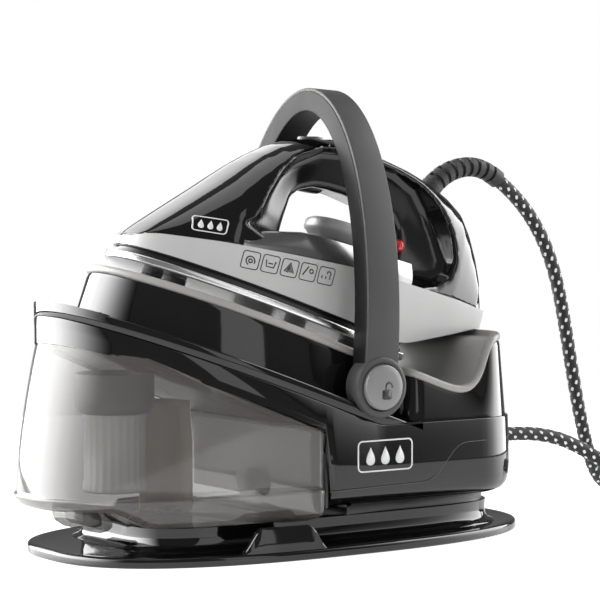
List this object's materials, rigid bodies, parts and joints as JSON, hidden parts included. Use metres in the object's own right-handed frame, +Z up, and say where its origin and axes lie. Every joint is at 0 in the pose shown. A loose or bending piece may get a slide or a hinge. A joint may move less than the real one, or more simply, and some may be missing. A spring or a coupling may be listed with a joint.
{
  "type": "steam generator iron",
  "caption": "Steam generator iron: a base with a boiler, slide-out water tank and fold-down carry handle, with an iron resting on it and joined to it by a steam hose.",
  "frame": {"origin": "centre of the foot plate's underside, on the floor", "axes": "+Z up, -X towards the water tank and the iron's tip, -Y the object's left side"},
  "size_m": [0.648, 0.194, 0.3064],
  "materials": {
    "black_gloss": "polished",
    "black_satin": "satin",
    "rubber": "matte",
    "warm_grey": "satin",
    "handle_grey": "fine texture",
    "button_grey": "satin",
    "smoke": "smoked clear",
    "silver": "metallic paint",
    "sole_steel": "polished",
    "cast_alloy": "as cast",
    "boiler_steel": "satin",
    "valve_brass": "satin",
    "pump_white": "satin",
    "funnel_grey": "satin",
    "board_green": "satin",
    "lamp_red": "clear red",
    "braid": "woven, light flecks"
  },
  "bodies": {
    "base": {"foot_plate": "black_gloss", "neck": "black_satin", "plinth": "black_satin", "rubber_feet": "rubber", "base_screws": "boiler_steel", "hose_clip_left": "black_satin", "hose_clip_right": "black_satin", "lower_casing": "black_gloss", "upper_casing": "black_gloss", "rest_tray": "warm_grey", "rest_pads": "rubber", "boiler": "boiler_steel", "boiler_heater": "boiler_steel", "pump": "pump_white", "solenoid_valve": "valve_brass", "safety_valve": "boiler_steel", "control_board": "board_green", "tank_socket": "pump_white", "hose_gland": "black_satin", "mains_gland": "black_satin", "pivot_pins": "boiler_steel", "hose_upper": "braid", "hose_lower": "braid", "hose_coil": "braid"},
    "carry_handle": {"handle_outer": "handle_grey", "handle_inner": "black_satin", "hub_left": "handle_grey", "hub_right": "handle_grey"},
    "lock_button_left": {"lock_button_left": "button_grey"},
    "lock_button_right": {"lock_button_right": "button_grey"},
    "iron": {"soleplate": "sole_steel", "sole_heater": "cast_alloy", "heat_shield": "black_satin", "skirt": "silver", "front_shell": "black_gloss", "saddle": "black_gloss", "handle_shell": "black_satin", "rear_shell": "black_gloss", "grip_pad": "rubber", "dial_collar": "black_satin", "thermostat": "boiler_steel", "pilot_light": "lamp_red", "cord_relief": "rubber"},
    "steam_dial": {"steam_dial": "silver"},
    "steam_trigger": {"steam_trigger": "black_satin"},
    "boost_button": {"boost_button": "silver"},
    "tank": {"tank_shell": "smoke", "filler_funnel": "funnel_grey", "filter_cartridge": "pump_white", "tank_valve": "pump_white", "float_magnet": "pump_white"},
    "tank_latch": {"tank_latch": "black_satin"},
    "filler_flap": {"filler_flap": "black_gloss"}
  },
  "joints": [
    {"name": "handle_fold", "type": "hinge", "parent": "base", "child": "carry_handle", "pos_m": [0.0215, 0, 0.1075], "axis": [0, 1, 0], "range_deg": [-72, 0]},
    {"name": "lock_left_press", "type": "slide", "parent": "carry_handle", "child": "lock_button_left", "axis": [0, 1, 0], "range_m": [0, 0.0025], "stiffness_N_per_m": 600, "springref_m": -0.001},
    {"name": "lock_right_press", "type": "slide", "parent": "carry_handle", "child": "lock_button_right", "axis": [0, -1, 0], "range_m": [0, 0.0025], "stiffness_N_per_m": 600, "springref_m": -0.001},
    {"name": "iron_lift_off", "type": "slide", "parent": "base", "child": "iron", "axis": [-0.9397, 0, 0.342], "range_m": [0, 0.09]},
    {"name": "dial_turn", "type": "hinge", "parent": "iron", "child": "steam_dial", "pos_m": [0.04894, 0, 0.20356], "axis": [0.342, 0, 0.9397], "range_deg": [-135, 135]},
    {"name": "trigger_press", "type": "slide", "parent": "iron", "child": "steam_trigger", "axis": [0.342, 0, 0.9397], "range_m": [0, 0.0025], "stiffness_N_per_m": 500, "springref_m": -0.001},
    {"name": "boost_press", "type": "slide", "parent": "iron", "child": "boost_button", "axis": [-0.342, 0, -0.9397], "range_m": [0, 0.002], "stiffness_N_per_m": 500, "springref_m": -0.001},
    {"name": "tank_slide", "type": "slide", "parent": "base", "child": "tank", "axis": [-1, 0, 0], "range_m": [0, 0.19]},
    {"name": "latch_press", "type": "slide", "parent": "tank", "child": "tank_latch", "axis": [1, 0, 0], "range_m": [0, 0.003], "stiffness_N_per_m": 300, "springref_m": -0.001},
    {"name": "flap_open", "type": "hinge", "parent": "base", "child": "filler_flap", "pos_m": [-0.157, 0, 0.1584], "axis": [0, 1, 0], "range_deg": [0, 70]}
  ]
}
